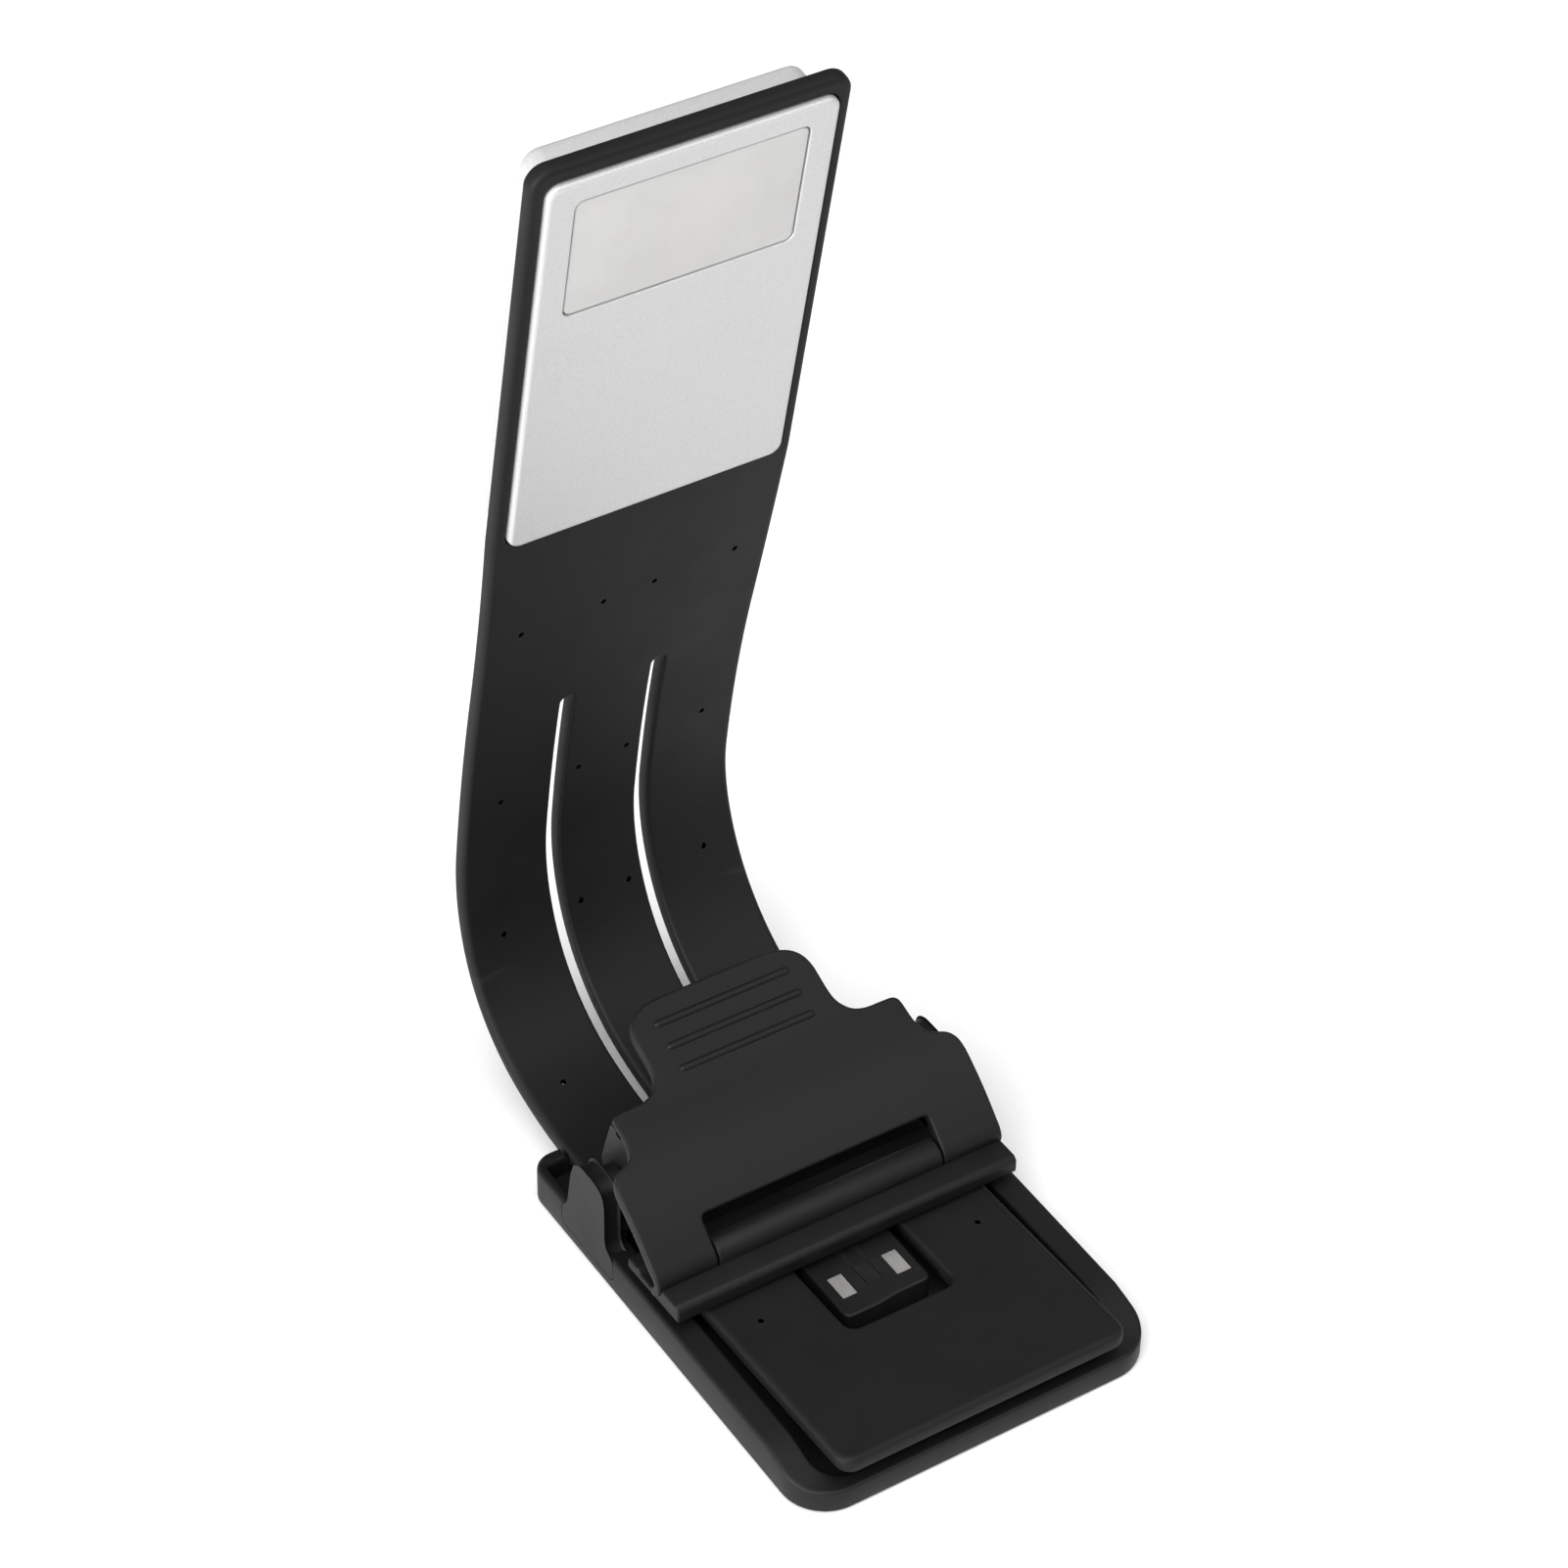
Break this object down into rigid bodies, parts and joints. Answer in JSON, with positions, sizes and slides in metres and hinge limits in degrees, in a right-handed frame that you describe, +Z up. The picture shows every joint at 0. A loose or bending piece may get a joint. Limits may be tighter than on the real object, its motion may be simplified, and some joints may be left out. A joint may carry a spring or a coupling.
{
  "type": "clip on reading lamp",
  "caption": "Bendable strip reading lamp: a flat arm carries a thin LED head from the tray of a spring clip with a lever and a self-aligning jaw foot.",
  "frame": {"origin": "middle of the footprint of the whole lamp, at the underside of the tray", "axes": "+X to the right across the lamp, +Y from the tray's open front towards the arm, +Z up"},
  "size_m": [0.0522, 0.097, 0.1531],
  "materials": {
    "black_plastic": "matte black moulded plastic",
    "silicone": "matte black silicone",
    "silver_plastic": "fine satin silver paint",
    "diffuser": "frosted translucent white",
    "white_plastic": "white",
    "nickel": "nickel plated",
    "steel": "plain",
    "aluminium": "soft, plain",
    "circuit_board": "green solder mask",
    "led": "yellow phosphor",
    "battery_foil": "aluminium laminate pouch"
  },
  "bodies": {
    "base": {"base_tray": "black_plastic", "dock_bar_left": "nickel", "dock_bar_right": "nickel", "lever_pin": "steel", "clip_spring": "steel", "strip_tail": "silicone", "tail_plate": "steel"},
    "clip_lever": {"clip_lever": "black_plastic", "foot_pin": "steel"},
    "jaw_foot": {"jaw_foot": "black_plastic"},
    "arm": {"arm_prong_left": "silicone", "arm_core_left": "aluminium", "arm_prong_centre": "silicone", "arm_core_centre": "aluminium", "arm_prong_right": "silicone", "arm_core_right": "aluminium"},
    "head": {"strip_upper": "silicone", "head_core_left": "aluminium", "head_core_centre": "aluminium", "head_core_right": "aluminium", "head_front_shell": "silver_plastic", "head_rear_shell": "silver_plastic", "light_window": "diffuser", "reflector": "white_plastic", "led_board": "circuit_board", "led_1": "led", "led_2": "led", "led_3": "led", "led_4": "led", "battery_cell": "battery_foil", "control_board": "circuit_board", "usb_socket": "steel", "tact_switch": "black_plastic"},
    "power_button": {"power_button": "black_plastic"}
  },
  "joints": [
    {"name": "lever_hinge", "type": "hinge", "parent": "base", "child": "clip_lever", "pos_m": [0, 0.00375, 0.0118], "axis": [-1, 0, 0], "range_deg": [0, 28], "stiffness_Nm_per_rad": 0.12, "springref_deg": -20.05, "deforming": ["clip_spring"]},
    {"name": "foot_hinge", "type": "hinge", "parent": "clip_lever", "child": "jaw_foot", "pos_m": [0, -0.01115, 0.0095], "axis": [-1, 0, 0], "range_deg": [-28, 0]},
    {"name": "arm_bend_lower", "type": "hinge", "parent": "base", "child": "arm", "pos_m": [0, 0.02169, 0.00477], "axis": [1, 0, 0], "range_deg": [-20, 35]},
    {"name": "arm_bend_upper", "type": "hinge", "parent": "arm", "child": "head", "pos_m": [0, 0.04485, 0.0406], "axis": [0.9972, 0.0749, 0], "range_deg": [-60, 60]},
    {"name": "button_press", "type": "slide", "parent": "head", "child": "power_button", "axis": [0, -0.9804, -0.1971], "range_m": [0, 0.0003], "stiffness_N_per_m": 800}
  ],
  "couplings": [
    {"joint": "foot_hinge", "follows": "lever_hinge", "ratio": -1}
  ]
}
